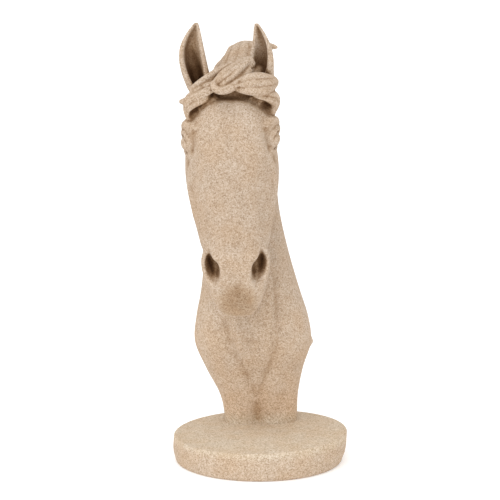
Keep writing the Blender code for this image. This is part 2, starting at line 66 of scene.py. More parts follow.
def round_base():
    """The disc turned from its profile, from the underside up to the flat of the top."""
    profile = [
        (UNDERSIDE_RADIUS - LOWER_EDGE_ROUND * (1.0 - sine), LOWER_EDGE_ROUND * (1.0 - cosine))
        for sine, cosine in quarter_round(LOWER_EDGE_STEPS)
    ]
    profile += [(BASE_RADIUS - short, BASE_THICKNESS * share) for short, share in SIDE_SWELL]
    profile += [
        (BASE_RADIUS - TOP_EDGE_ROUND * (1.0 - cosine), BASE_THICKNESS - TOP_EDGE_ROUND * (1.0 - sine))
        for sine, cosine in quarter_round(TOP_EDGE_STEPS)
    ]
    disc = bmesh.new()
    bmesh.ops.create_circle(disc, segments=SIDES_OF_BASE, radius=profile[0][0], cap_ends=True)
    edges = disc.edges[:]
    for (radius, height), (next_radius, next_height) in zip(profile, profile[1:]):
        grown = bmesh.ops.extrude_edge_only(disc, edges=edges)["geom"]
        verts = [part for part in grown if isinstance(part, bmesh.types.BMVert)]
        edges = [part for part in grown if isinstance(part, bmesh.types.BMEdge)]
        wider = next_radius / radius
        bmesh.ops.scale(disc, vec=(wider, wider, 1.0), verts=verts)
        bmesh.ops.translate(disc, vec=(0.0, 0.0, next_height - height), verts=verts)
    bmesh.ops.contextual_create(disc, geom=edges)
    for vert in disc.verts:
        up = vert.co.z / BASE_THICKNESS
        vert.co.z += vert.co.x * TOP_TILT * up**2 - BASE_THICKNESS
        vert.co.x += UNDERSIDE_ASIDE * (1.0 - up)
    bmesh.ops.recalc_face_normals(disc, faces=disc.faces[:])
    return disc


# The neck
# An arched neck, solid and smooth, that leans forward from a squarish foot at the back of the base.
# It is modelled by ovals from the poll down to the foot, each turned to the bend of the neck.
NECK_GRID = (96, 120)  # faces around and along, before the clay is joined
# Throat side (y, z), crest side (y, z), middle, half width, share of the depth at which it is widest,
# squareness in front and behind
NECK_OVALS = (
    (20, 256, -6, 290, -23, 20, 0.5, 2.0, 2.0),
    (29, 250, 16, 299, -18.5, 21, 0.5, 2.0, 2.0),
    (33, 243, 44, 306.5, -13, 21.5, 0.5, 2.0, 2.0),
    (36, 234, 73, 301, -12, 23, 0.48, 2.0, 1.9),
    (38, 223, 95, 283, -13, 25, 0.46, 2.0, 1.8),
    (37, 209, 107, 254, -14.5, 27, 0.45, 2.0, 1.8),
    (33, 192, 112.5, 219, -15, 28.5, 0.44, 2.1, 1.8),
    (25, 170, 112, 181, -15.2, 30.5, 0.44, 2.1, 1.8),
    (13, 143, 106, 142, -11.8, 34, 0.44, 2.2, 1.9),
    (1, 114, 98, 106, -8.3, 39.9, 0.45, 2.2, 2.0),
    (-4, 91, 91, 82, -6.6, 45.8, 0.46, 2.2, 2.0),
    (-2, 69, 83, 63, -6.0, 47.6, 0.47, 2.2, 2.0),
    (6, 46, 74.5, 43, -4.8, 40.0, 0.48, 2.4, 2.2),
    (14.5, 24, 67, 24, -1.3, 32.6, 0.5, 3.0, 2.6),
    (20, 8, 62, 8, 0.3, 30.2, 0.5, 3.6, 3.0),
    (21.5, -8, 61, -8, 0.5, 30, 0.5, 3.6, 3.0),
)


def between_rows(rows, share):
    """A row between the rows of a table, on a smooth curve through them all."""
    table = np.asarray(rows, dtype=float)
    place = min(max(share, 0.0), 1.0) * (len(table) - 1)
    low = min(int(place), len(table) - 2)
    t = place - low
    before, a, b, after = (table[min(max(low + k, 0), len(table) - 1)] for k in (-1, 0, 1, 2))
    bend = 2 * before - 5 * a + 4 * b - after
    row = a + 0.5 * ((b - before) * t + bend * t**2 + (3 * a - before - 3 * b + after) * t**3)
    return row.tolist()


def oval(angle, front_power, back_power):
    """Across and depth, both -1 to 1, of a rounded outline: power 2 is an ellipse, more is squarer."""
    across, depth = math.cos(angle), math.sin(angle)
    power = 2.0 / (back_power if depth > 0.0 else front_power)
    return (
        math.copysign(abs(across) ** power, across),
        math.copysign(abs(depth) ** power, depth),
    )


def drawn_ball(shape, around, along):
    """A closed body: a ball whose rings are drawn out to shape(share along, angle around).

    Its two poles come to lie in the middle of the first ring and of the last.
    """
    body = bmesh.new()
    ball = bmesh.ops.create_uvsphere(body, u_segments=around, v_segments=along, radius=1.0)
    for vert in ball["verts"]:
        ring = math.acos(max(-1.0, min(1.0, vert.co.z))) / math.pi * along
        share = min(max((ring - 1.0) / (along - 2.0), 0.0), 1.0)
        if 0.5 < ring < along - 0.5:
            vert.co = shape(share, math.atan2(vert.co.y, vert.co.x))
        else:
            vert.co = (shape(share, 0.0) + shape(share, math.pi)) / 2.0
    bmesh.ops.recalc_face_normals(body, faces=body.faces[:])
    return body


def neck_skin(share, angle):
    """A place on the neck: angle 0 is the mane's side, 90 degrees the crest, -90 the throat."""
    throat_y, throat_z, crest_y, crest_z, middle, half, widest, front_power, back_power = between_rows(
        NECK_OVALS, share
    )
    across, depth = oval(angle, front_power, back_power)
    part = widest + depth * (1.0 - widest if depth > 0.0 else widest)
    return Vector((
        middle + across * half,
        throat_y + part * (crest_y - throat_y),
        throat_z + part * (crest_z - throat_z),
    ))


def neck_middle(share):
    return (neck_skin(share, 0.0) + neck_skin(share, math.pi)) / 2.0


# The head
# A lean horse's head that hangs from the poll with the nose a little forward and to one side.
# It is modelled by ovals square to the line of the face, in the head's own directions.
POLL = Vector((-26.5, -22.0, 295.8))
NOSE_FORWARD = math.radians(15.0)
NOSE_ASIDE = math.radians(2.7)
ROLL = Matrix.Rotation(-NOSE_ASIDE, 3, "Y")
HEAD_ACROSS = ROLL @ Vector((1.0, 0.0, 0.0))
HEAD_BACK = ROLL @ Vector((0.0, math.cos(NOSE_FORWARD), -math.sin(NOSE_FORWARD)))
HEAD_DOWN = ROLL @ Vector((0.0, -math.sin(NOSE_FORWARD), -math.cos(NOSE_FORWARD)))
# Down the face, front, depth of the widest place, back of the jaw, half width, squareness front, back
HEAD_OVALS = (
    (1, 13, 30, 50, 9, 2.0, 2.0),
    (7, 4, 28, 62, 18, 2.0, 2.0),
    (14, -1, 27, 73, 27, 2.2, 2.0),
    (28, -4.5, 27, 80, 31.5, 2.5, 2.0),
    (44, -6.5, 28, 83, 34, 2.8, 2.0),
    (60, -6.5, 34, 83, 34.8, 2.7, 2.2),
    (78, -4.5, 41, 79.5, 36.2, 2.3, 2.4),
    (94, -2, 40, 72, 35.2, 2.1, 2.3),
    (110, 0, 36, 63, 32.3, 2.0, 2.2),
    (126, 0.5, 30.5, 55, 28.8, 2.0, 2.1),
    (140, 0, 26, 49, 26, 2.1, 2.1),
    (152, -0.5, 23.5, 46.5, 25.4, 2.3, 2.1),
    (162, 1.5, 24, 46, 24.3, 2.4, 2.1),
    (173, 6.5, 26, 46, 21.6, 2.4, 2.1),
    (183, 14, 29, 44.5, 17.8, 2.2, 2.0),
    (190.5, 22.5, 32, 41, 12, 2.0, 2.0),
    (192.5, 27, 32.5, 38, 6, 2.0, 2.0),
)
HEAD_GRID = (96, 120)
EYE_PLACE = (25.9, 16.5, 58.5)
EYE_RADIUS = 9.8
EYE_GRID = (40, 28)


def on_head(across, back, down):
    """A place given in the head's own directions, from the poll."""
    return POLL + across * HEAD_ACROSS + back * HEAD_BACK + down * HEAD_DOWN


def head_skin(share, angle):
    """A place on the head: angle 0 is the mane's side, 90 degrees the jaw, -90 the face."""
    down, front, widest, back, half, front_power, back_power = between_rows(HEAD_OVALS, share)
    across, depth = oval(angle, front_power, back_power)
    reach = back - widest if depth > 0.0 else widest - front
    return on_head(across * half, widest + depth * reach, down)


def eyeball(side):
    """The ball of one eye: side is 1 for the horse's left and -1 for its right."""
    across, back, down = EYE_PLACE
    around, along = EYE_GRID
    place = Matrix.Translation(on_head(side * across, back, down))
    ball = bmesh.new()
    bmesh.ops.create_uvsphere(ball, u_segments=around, v_segments=along, radius=EYE_RADIUS, matrix=place)
    return ball


# The ears
# Two pricked ears with thick cast rims round a deep shell. The right one opens straight ahead, and
# the left one opens inwards, so that its outer rim folds over the shell as a flap.
EAR_GRID = (64, 60)
# Outer half width, inner half width, outer depth, inner depth, wrap of the rims in degrees
EAR_ROUNDS = (
    (4.8, 1.2, 5.0, 1.6, 168),
    (8.8, 3.2, 10.2, 5.0, 152),
    (10.9, 4.9, 11.8, 7.8, 126),
    (11.5, 5.6, 11.8, 8.4, 110),
    (11.2, 5.5, 11.0, 8.0, 101),
    (9.9, 4.7, 9.0, 6.4, 95),
    (7.3, 3.2, 6.8, 4.6, 88),
    (4.6, 1.6, 4.4, 2.8, 80),
    (2.0, 0.5, 2.2, 1.0, 70),
)
# Below 1 the wall keeps its thickness up to the rims, which are then firm
EAR_RIM_FIRMNESS = 0.45
RIGHT_EAR = (
    (-42, 2, 261), (-47, -3, 272), (-49.6, -5.5, 282.5), (-51.7, -6.5, 291.5), (-53, -7, 299.5),
    (-53.3, -7, 307.5), (-52.3, -6.5, 315.5), (-50.9, -6, 321.5), (-49.7, -5.5, 325.8),
)
LEFT_EAR = (
    (-3.6, 0, 262), (-0.4, -3.5, 274), (0, -5.5, 284.5), (0.2, -6.5, 293), (0, -7, 300),
    (-0.3, -7, 307.7), (-1.5, -6.5, 315), (-3.1, -6, 321.5), (-4.1, -5.5, 325.5),
)
RIGHT_EAR_TURN = math.radians(6.0)
LEFT_EAR_TURN = math.radians(-24.0)
LEFT_EAR_WIDTH = 0.86
EAR_FLAP = ((7, -13.5, 301.5), (7.4, -15.5, 298), (7.2, -16, 293), (6.6, -16, 288), (5.6, -14, 282.5))
EAR_FLAP_WIDTHS = (3, 5.5, 6, 6, 4)
EAR_FLAP_THICKNESS = 4.5
LEFT_EAR_HUB = (0, -4, 291)


def ear(path, turn, width_share=1.0):
    """One ear along its path, with its opening turned from straight ahead by an angle."""
    opening_right = Vector((math.cos(turn), math.sin(turn), 0.0))
    opening_back = Vector((-math.sin(turn), math.cos(turn), 0.0))

    def skin(share, angle):
        outer, inner, outer_depth, inner_depth, wrap = between_rows(EAR_ROUNDS, share)
        wall = (1.0 + math.copysign(abs(math.sin(angle)) ** EAR_RIM_FIRMNESS, math.sin(angle))) / 2.0
        bend = math.radians(wrap) * math.cos(angle)
        right = (inner + wall * (outer - inner)) * width_share * math.sin(bend)
        back = (inner_depth + wall * (outer_depth - inner_depth)) * math.cos(bend)
        return Vector(between_rows(path, share)) + right * opening_right + back * opening_back

    return drawn_ball(skin, *EAR_GRID)


# The forelock and the hair of the poll
# Wet-looking locks, each with a few grooved strands, swept from between the ears across the forehead
# to both temples. They overlap, and their lower edge stands proud of the brow with a deep shadow.
FORELOCK_HUB = (-26.5, 6, 268)
CREST_HUB = (-16, 22, 272)
# Hair between the ears, from the crest forward: y, middle, half width, middle height, rise to the top
POLL_OVALS = (
    (44, -12, 20, 284, 15),
    (36, -12, 21.5, 284, 24),
    (28, -11.7, 22.8, 282, 28.5),
    (16, -13.4, 23.1, 280, 25.5),
    (4, -15, 24.5, 277, 22),
    (-8, -17, 25.5, 273, 19.5),
    (-18, -19, 26, 269.5, 18),
    (-25, -21, 26.5, 272, 13),
    (-30, -21.5, 25, 276.5, 7.5),
    (-35, -22, 20, 279, 4),
)
POLL_GRID = (120, 60)
POLL_STRANDS = 9.0
POLL_GROOVE = 0.05
STRAND_ROUNDNESS = 0.6
LOCK_GRID = (56, 48)
LOCK_GROOVE = 0.34
# The share of a lock's length on each side of a place, over which its direction is taken
DIRECTION_SPAN = 0.04
# Path from the root to the tip, widths along it, thickness, strands
FORELOCK = (
    # From the left ear down to the middle of the forehead
    (
        (
            (-8.8, -15.5, 295.5), (-11.2, -20, 294.5), (-14.7, -24.5, 291.8), (-19.5, -30, 288.1),
            (-25.5, -34.5, 283.8), (-31.6, -36, 279.3), (-35.8, -35, 275.8),
        ),
        (11, 12.5, 14, 16, 16.5, 13, 9), 13, 4,
    ),
    # A single strand in front of it
    (
        (
            (-9.8, -24, 295.8), (-13.4, -28.5, 292.7), (-17.9, -33.8, 288.6), (-24, -37.8, 283.6),
            (-30.4, -40, 278.8),
        ),
        (4, 5, 5.5, 5, 4), 7, 1,
    ),
    # The curl below it, which turns up at its tip
    (
        (
            (-8.8, -25, 289.4), (-12.4, -30.5, 285.8), (-17.5, -36.5, 281.2), (-23.9, -41, 276.9),
            (-30.7, -42.5, 275.5), (-35.1, -41, 277.5), (-36.1, -37.5, 281.3),
        ),
        (5, 6, 6.5, 7, 6.5, 6, 4), 9, 2,
    ),
    # Three to the right under the right ear, the last with a tip that stands out at the temple
    (
        (
            (-17.7, -17, 292), (-24.5, -21, 291.1), (-31.8, -25, 288.6), (-39, -27.5, 284.5),
            (-46.6, -27.5, 279.6), (-54, -25.5, 274.5),
        ),
        (7, 8.5, 8, 7.5, 7, 5), 10, 1,
    ),
    (
        (
            (-26.8, -27, 282.6), (-35.1, -29, 279.7), (-42.8, -29.5, 275.5), (-49.7, -28.5, 272),
            (-56.7, -26, 268.8),
        ),
        (9, 11, 11, 10, 6), 9, 2,
    ),
    (
        (
            (-31.3, -33, 276.9), (-38.9, -34.5, 274.3), (-46.5, -33.5, 270.8), (-53.9, -29.5, 268.1),
            (-61.6, -23.5, 265.6),
        ),
        (7, 8.5, 8.5, 7.5, 4.5), 9, 2,
    ),
    # Round the right temple and down
    (
        (
            (-33.6, -32, 272.2), (-41.9, -34, 269.7), (-49.3, -32.5, 266.6), (-54.2, -30, 262.8),
            (-55.2, -27.2, 258), (-54.8, -26, 252.6),
        ),
        (6, 10, 12.5, 13, 11, 5), 9, 2,
    ),
    # The thick one to the left temple
    (
        (
            (-23.7, -33, 277.6), (-15.3, -37, 278.6), (-8.4, -38.5, 279.8), (-1.6, -36.5, 280.1),
            (4.1, -31.5, 280.2), (8, -25, 280.6), (10.8, -19, 280.7),
        ),
        (8, 13, 17.5, 18.5, 16.5, 12.5, 7), 12, 3,
    ),
    # Round the left temple and down
    (
        (
            (-8.4, -35, 270.9), (-1.6, -34, 270.5), (4.1, -30, 269.8), (8.8, -25, 268.2),
            (9.6, -21.5, 263.3), (7.4, -20.5, 257),
        ),
        (4, 9, 12.5, 13, 10, 5), 11, 2,
    ),
)
POLL_HAIR = (
    # The pointed one beside the left ear
    (((-8, 26, 306), (0, 26, 307), (7, 27, 306.4), (14, 28, 305.4)), (12, 12, 7.5, 0.6), 8, 2),
    # From the crest down its left side
    (
        ((-23, 26, 297), (-12, 30, 302.5), (-3, 31, 299.5), (1.5, 32, 288), (5, 34, 272)),
        (10, 17, 19, 16, 4), 10, 4,
    ),
    # Two short ones on its right side
    (((-27, 14, 289), (-35, 14, 284), (-41, 13, 275)), (9, 12, 4), 8, 2),
    (((-26, 32, 296), (-33, 32, 288), (-37, 32, 277)), (9, 13, 4), 8, 2),
)


def poll_skin(share, angle):
    """A place on the hair between the ears, with shallow strands that run forward."""
    y, middle, half, level, rise = between_rows(POLL_OVALS, share)
    strand = abs(math.sin(POLL_STRANDS * angle)) ** STRAND_ROUNDNESS
    out = 1.0 - POLL_GROOVE * (1.0 - strand)
    return Vector((middle + out * half * math.cos(angle), y, level + out * rise * math.sin(angle)))


def lock(path, widths, thickness, hub, strands, groove=LOCK_GROOVE):
    """A lock of hair: a flattened tongue of round strands along a path, lying flat round the hub."""

    def skin(share, angle):
        place = Vector(between_rows(path, share))
        ahead = Vector(between_rows(path, min(share + DIRECTION_SPAN, 1.0)))
        behind = Vector(between_rows(path, max(share - DIRECTION_SPAN, 0.0)))
        tangent = (ahead - behind).normalized()
        lift = place - Vector(hub)
        lift = (lift - lift.dot(tangent) * tangent).normalized()
        side = tangent.cross(lift)
        width = between_rows([(wide,) for wide in widths], share)[0]
        across, up = math.cos(angle), math.sin(angle)
        strand = abs(math.sin(math.pi * strands * (across + 1.0) / 2.0)) ** STRAND_ROUNDNESS
        height = thickness * min(1.0, width / max(widths)) ** 0.5 * (1.0 - groove * (1.0 - strand))
        return place + side * (across * width / 2.0) + lift * (up * height / 2.0)

    return drawn_ball(skin, *LOCK_GRID)


# The mane
# Long wavy locks rooted along the crest. Most fall over the left side of the neck, short ones part
# to the right, and the last one ends in the corner that stands out at the widest of the neck.
# Roots and reaches are shares of the neck's length, and sweeps are degrees round it.
MANE_LOCKS = 10
FIRST_ROOT = 0.13
ROOT_SPACING = 0.05
ROOT_ANGLE = 97.0
FALLEN_REACH = 0.12
FALLEN_SWEEP = 64.0
FALLEN_WIDTHS = (13, 22, 24, 18, 3)
FALLEN_THICKNESS = 10
FALLEN_STRANDS = 5
PARTED_REACH = 0.06
PARTED_SWEEP = -34.0
PARTED_WIDTHS = (9, 13, 10, 3)
PARTED_THICKNESS = 7
PARTED_STRANDS = 3
# No two fallen locks are alike: how much they differ, and how fast that changes from lock to lock
REACH_VARIETY = (0.012, 2.3)
SWEEP_VARIETY = (8.0, 1.7)
# A lock drops round the neck quickly at first, and then hangs down along it
HANG_POWER = 1.2
SWEEP_POWER = 0.85
# Share of the neck's length, degrees round it
END_LOCK = ((0.56, 84), (0.62, 68), (0.68, 48), (0.725, 28), (0.753, 8))
END_LOCK_WIDTHS = (13, 20, 19, 12, 2)
END_LOCK_THICKNESS = 8
END_LOCK_STRANDS = 4
END_LOCK_HUB = 0.66


def mane_lock(number, reach, sweep, widths, thickness, strands):
    """A lock rooted on the crest, which drops round the neck by its sweep."""
    root = FIRST_ROOT + ROOT_SPACING * number
    path = []
    for step in range(len(widths)):
        part = step / (len(widths) - 1.0)
        angle = ROOT_ANGLE - sweep * part**SWEEP_POWER
        path.append(neck_skin(root + reach * part**HANG_POWER, math.radians(angle)))
    return lock(path, widths, thickness, neck_middle(root + reach / 2.0), strands)


def fallen_lock(number):
    """One of the long locks over the left side of the neck."""
    reach = FALLEN_REACH + REACH_VARIETY[0] * math.cos(REACH_VARIETY[1] * number)
    sweep = FALLEN_SWEEP + SWEEP_VARIETY[0] * math.sin(SWEEP_VARIETY[1] * number)
    return mane_lock(number, reach, sweep, FALLEN_WIDTHS, FALLEN_THICKNESS, FALLEN_STRANDS)


def parted_lock(number):
    """One of the short locks on the right side of the crest."""
    return mane_lock(number, PARTED_REACH, PARTED_SWEEP, PARTED_WIDTHS, PARTED_THICKNESS, PARTED_STRANDS)


def end_lock():
    path = [neck_skin(share, math.radians(angle)) for share, angle in END_LOCK]
    hub = neck_middle(END_LOCK_HUB)
    return lock(path, END_LOCK_WIDTHS, END_LOCK_THICKNESS, hub, END_LOCK_STRANDS)


# The clay model
# The casting starts as a model in clay. The loose forms are joined into one body, whose skin is then
# even enough to carve.
MM = 0.001
FIGURE_PLACE = Vector((-UNDERSIDE_ASIDE, 0.0, BASE_THICKNESS))
SKIN_STEP = 0.7
bodies = [drawn_ball(neck_skin, *NECK_GRID), drawn_ball(head_skin, *HEAD_GRID)]
bodies += [eyeball(-1.0), eyeball(1.0)]
bodies += [ear(RIGHT_EAR, RIGHT_EAR_TURN), ear(LEFT_EAR, LEFT_EAR_TURN, LEFT_EAR_WIDTH)]
bodies.append(lock(EAR_FLAP, EAR_FLAP_WIDTHS, EAR_FLAP_THICKNESS, LEFT_EAR_HUB, 1, groove=0.0))
bodies.append(drawn_ball(poll_skin, *POLL_GRID))
for path, widths, thickness, strands in FORELOCK:
    bodies.append(lock(path, widths, thickness, FORELOCK_HUB, strands))
for path, widths, thickness, strands in POLL_HAIR:
    bodies.append(lock(path, widths, thickness, CREST_HUB, strands))
for number in range(MANE_LOCKS):
    bodies += [fallen_lock(number), parted_lock(number)]
bodies.append(end_lock())

loose_forms = bmesh.new()
for body in bodies:
    form = bpy.data.meshes.new("loose form")
    body.to_mesh(form)
    body.free()
    loose_forms.from_mesh(form)
    bpy.data.meshes.remove(form)
bmesh.ops.translate(loose_forms, vec=FIGURE_PLACE, verts=loose_forms.verts[:])
bmesh.ops.scale(loose_forms, vec=(MM, MM, MM), verts=loose_forms.verts[:])
sculpture = bpy.data.objects.new("horse_head", bpy.data.meshes.new("horse_head"))
bpy.context.collection.objects.link(sculpture)
loose_forms.to_mesh(sculpture.data)
loose_forms.free()


def apply_modifiers(shape):
    """Makes what a shape's modifiers show its mesh, and clears them."""
    depsgraph = bpy.context.evaluated_depsgraph_get()
    mesh = bpy.data.meshes.new_from_object(shape.evaluated_get(depsgraph))
    shape.modifiers.clear()
    shape.data = mesh


def even_skin(shape, smoothings):
    """Gives the clay one even skin, and takes the steps out of it."""
    clay = shape.modifiers.new("clay", "REMESH")
    clay.mode = "VOXEL"
    clay.voxel_size = SKIN_STEP * MM
    clay.adaptivity = 0.0
    soften = shape.modifiers.new("soften", "SMOOTH")
    soften.factor = 0.5
    soften.iterations = smoothings
    apply_modifiers(shape)


even_skin(sculpture, smoothings=2)


# Carving
# The eyes, nostrils and mouth, the muscles and the hollows of the throat are worked into the clay
# with the thumb, the round tool and the hollow tool, first the broad forms and then the fine lines.
THUMB_FIRMNESS = 0.7
# How far round its middle a hole is bored, in its larger radii, and how firmly a flap holds its place
BORE_REACH = 2.2
FLAP_HOLD = 1.4
# Firmness of a hole's wall on its outer side and on its inner side
OUTER_WALL = 1.7
INNER_WALL = 3.0


class Clay:
    """The skin under the sculptor's hands: places in millimetres from the top of the base."""

    def __init__(self, mesh):
        self.mesh = mesh
        self.places = np.empty(len(mesh.vertices) * 3, dtype=np.float32)
        mesh.vertices.foreach_get("co", self.places)
        self.places = self.places.reshape(-1, 3).astype(float) / MM - np.array(FIGURE_PLACE)
        ends = np.empty(len(mesh.edges) * 2, dtype=np.int32)
        mesh.edges.foreach_get("vertices", ends)
        ends = ends.reshape(-1, 2)
        self.ends = np.concatenate([ends, ends[:, ::-1]])
        self.neighbours = np.bincount(self.ends[:, 0], minlength=len(self.places))[:, None]
        self.find_normals()

    def find_normals(self):
        """Puts the worked places into the mesh, and takes from it which way the skin faces."""
        placed = (self.places + np.array(FIGURE_PLACE)) * MM
        self.mesh.vertices.foreach_set("co", placed.astype(np.float32).ravel())
        self.mesh.update()
        normals = np.empty(len(self.mesh.vertices) * 3, dtype=np.float32)
        self.mesh.vertex_normals.foreach_get("vector", normals)
        self.normals = normals.reshape(-1, 3).astype(float)

    def on_head(self, side):
        """The places in the head's own directions, mirrored for the horse's right side."""
        axes = np.array([HEAD_ACROSS * side, HEAD_BACK, HEAD_DOWN])
        return (self.places - np.array(POLL)) @ axes.T

    def neighbour_mean(self, values):
        mean = np.empty_like(values)
        for axis in range(values.shape[1]):
            mean[:, axis] = np.bincount(self.ends[:, 0], values[self.ends[:, 1], axis], len(values))
        return mean / self.neighbours

    def soften(self, places, centre, radii, rounds):
        """Smooths the skin round a centre, as a thumb does."""
        far = np.sum(((places - np.array(centre)) / np.array(radii)) ** 2, axis=1)
        strength = (THUMB_FIRMNESS * np.exp(-(far**2)))[:, None]
        for _ in range(rounds):
            self.places += strength * (self.neighbour_mean(self.places) - self.places)

    def press(self, places, centre, radii, height):
        """Swells the skin round a centre by a height, or sinks it where that is negative."""
        far = np.sum(((places - np.array(centre)) / np.array(radii)) ** 2, axis=1)
        self.places += self.normals * (height * np.exp(-far))[:, None]

    def bore(self, places, centre, across, down, radii, flap, inward, depth):
        """Sinks a hole, oval across and down its opening but for a flap that stays, driven inward."""
        offset = places - np.array(centre)
        aside, below = offset @ np.array(across), offset @ np.array(down)
        far = (aside / radii[0]) ** 2 + (below / radii[1]) ** 2
        from_flap = ((aside - flap[0]) / flap[2]) ** 2 + ((below - flap[1]) / flap[3]) ** 2
        far += FLAP_HOLD * np.exp(-from_flap)
        near = np.sum(offset**2, axis=1) < (BORE_REACH * max(radii)) ** 2
        firmness = np.where(aside > 0.0, OUTER_WALL, INNER_WALL)
        self.places += np.array(inward) * (depth * near * np.exp(-(far**firmness)))[:, None]

    def along(self, places, *paths):
        """The strength of some strokes at each place: their rows are a place, width and strength.

        Where paths meet, only the strongest counts, so that a meeting is no deeper than its strokes.
        """
        strongest = np.zeros(len(places))
        for path in paths:
            rows = np.array(path, dtype=float)
            for start, end in zip(rows[:-1], rows[1:]):
                run = (end - start)[:3]
                share = np.clip((places - start[:3]) @ run / (run @ run), 0.0, 1.0)
                foot = start + share[:, None] * (end - start)
                far = np.sum((places - foot[:, :3]) ** 2, axis=1) / foot[:, 3] ** 2
                height = foot[:, 4] * np.exp(-far)
                strongest = np.where(np.abs(height) > np.abs(strongest), height, strongest)
        return strongest

    def stroke(self, places, *paths):
        """Draws ridges, or grooves where the strengths are negative."""
        self.places += self.normals * self.along(places, *paths)[:, None]


# Softened on the head: middle (across, back, down), radii, rounds of the thumb
EAR_ROOT = ((27, 26, 36), (13, 18, 11), 40)
JAW_CREASE = ((24, 74, 52), (20, 12, 34), 24)
# Pressed on the head: middle (across, back, down), radii, height
ORBIT = ((34, 20, 51.6), (9, 12, 10), 3.0)
# The left orbit is higher and fuller than that by this much, and the right one lower and flatter
ORBIT_RAISED = 0.8
ORBIT_FULLER = 0.5
HOLLOW_OVER_EYE = ((26, 6, 32), (8, 9, 12), -2.4)
NOTCH_UNDER_EYE = ((36, 20, 73), (8, 12, 4), -1.4)
BALL_OF_EYE = ((36, 17.4, 59.2), (8, 7, 5.4), 1.1)
NOTCH_OVER_WING = ((27, 24, 142), (5, 9, 4), -1.4)
CHEEK = ((31, 54, 60), (14, 20, 22), 2.0)
SIDE_OF_NOSE = ((28, 8, 122), (7, 12, 16), -1.2)
WING_OF_NOSTRIL = ((25, 14, 153), (6, 11, 13), 1.8)
UPPER_LIP = ((0, 8, 176), (9, 10, 12), -1.6)
CHIN = ((0, 43, 178), (11, 7, 9), 2.0)
BETWEEN_JAW_BONES = ((0, 82, 66), (7, 14, 40), -3.5)
# Drawn on the head, rows are: across, back, down, width, height
BROW = ((27, 2.5, 49, 3, 1.2), (31.5, 7.5, 45, 3.6, 3), (35.5, 15, 43.5, 4, 3.4), (37, 26, 47, 4, 1.6))
# The eye is drawn on the side of the head, so its rows say nothing of how far across they lie
SIDE_OF_HEAD = 34.5
EYE_RIM = (
    (0, 8.3, 64.5, 1.2, -1.2), (0, 11.2, 57.6, 1.3, -1.4), (0, 15.2, 53.2, 1.3, -1.2),
    (0, 20.8, 52, 1.3, -1.2), (0, 26, 55.6, 1.2, -1.4), (0, 22.8, 61.8, 1.2, -1.3),
    (0, 17.8, 65.6, 1.2, -1.1), (0, 12.6, 66.2, 1.2, -1.2), (0, 8.3, 64.5, 1.2, -1.2),
)
UPPER_LID = (
    (0, 7.4, 60.6, 1.3, 0.3), (0, 9.4, 55.8, 1.5, 0.6), (0, 14.2, 50.7, 1.6, 0.6),
    (0, 21.2, 49.3, 1.6, 0.7), (0, 28, 53.6, 1.5, 0.6),
)
LOWER_LID = (
    (0, 11.8, 68.6, 1.3, 0.3), (0, 18, 68.1, 1.4, 0.5), (0, 24.2, 64, 1.4, 0.7), (0, 28, 58.4, 1.4, 0.5),
)
LID_FOLD = (
    (0, 8, 53, 1.4, -0.2), (0, 13.2, 48, 1.5, -0.4), (0, 21.4, 46.4, 1.5, -0.6),
    (0, 29.4, 50.8, 1.5, -0.6),
)
EYE_HOLLOW = (
    (24, 0, 42, 5, -0.8), (27, 3, 52, 6, -2), (29.5, 6, 59, 6, -2.2), (31.5, 8.5, 65, 4.5, -2.2),
)
FACIAL_CREST = ((32, 14, 75, 4, 1), (34, 24, 92, 5, 1.8), (31, 26, 112, 5, 1.0))
NOSE_GROOVE = ((0, -8, 40, 7, -0.5), (0, -4, 90, 8, -0.8), (0, -1, 140, 8, -0.7))
JAW_GROOVE = ((22, 56, 96, 4.5, -1.2), (20, 44, 126, 4.5, -1.8), (20, 38, 144, 4.5, -1.2))
MOUTH = (
    (0, 31, 193, 1.5, -3.0), (10, 32, 187, 1.5, -3.0), (16, 34, 176, 1.5, -3.0),
    (20.5, 36, 164, 1.5, -2.6), (23, 36.5, 154, 1.5, -1.6),
)
NOSTRIL = (21.3, 2.8, 158.3)
NOSTRIL_ACROSS = (0.74, 0.66, 0.10)
NOSTRIL_DOWN = (-0.2, 0.09, 0.97)
NOSTRIL_LEAN = 0.1
NOSTRIL_RADII = (6.3, 11.4)
# Where the flap lies across and down the opening, and its reach both ways
NOSTRIL_FLAP = (-5.5, -8.5, 4.5, 5.5)
NOSTRIL_INWARD = (-0.16, 0.90, -0.40)
NOSTRIL_DEPTH = 13.0
NOSTRIL_TAIL = ((17.5, 4, 167, 1.6, -1.6), (18.5, 7, 173, 1.4, -0.8))
LIP_RIM = (
    (12.5, -2, 151, 2.6, 1.2), (12, 0, 162, 2.8, 1.3), (14.5, 4, 171, 3, 1.6), (16, 10, 179, 3, 1.6),
    (11, 17, 187, 3, 0.8),
)
# Drawn under the hair, rows are: x, y, z, width, height
UNDER_FORELOCK = (
    (-54.5, -29, 253.4, 2.4, -1.6), (-49.7, -31.5, 261.2, 2.4, -3), (-42.7, -34, 266.8, 2.6, -3.6),
    (-36.6, -35, 270.8, 2.8, -4), (-29, -35.5, 272.2, 2.8, -4.4), (-19.1, -35.5, 272, 2.8, -4.4),
    (-8.4, -35, 271.4, 2.8, -4.2), (-3, -34, 268, 2.8, -3.6), (0.4, -32.6, 265.2, 2.8, -3.2),
    (4, -30.5, 262.2, 2.4, -2.4), (6.4, -28, 258, 2.4, -1.2),
)
# Softened under the hair: middle (x, y, z), radii, rounds of the thumb
END_OF_CREVICE = ((-0.9, -33, 264.5), (4, 5, 3.5), 12)


def seen_from_side(head):
    """The places on the side of the head, as if it were flat, with all others away from it."""
    flat = head.copy()
    flat[:, 0] = np.maximum(SIDE_OF_HEAD - head[:, 0], 0.0)
    return flat


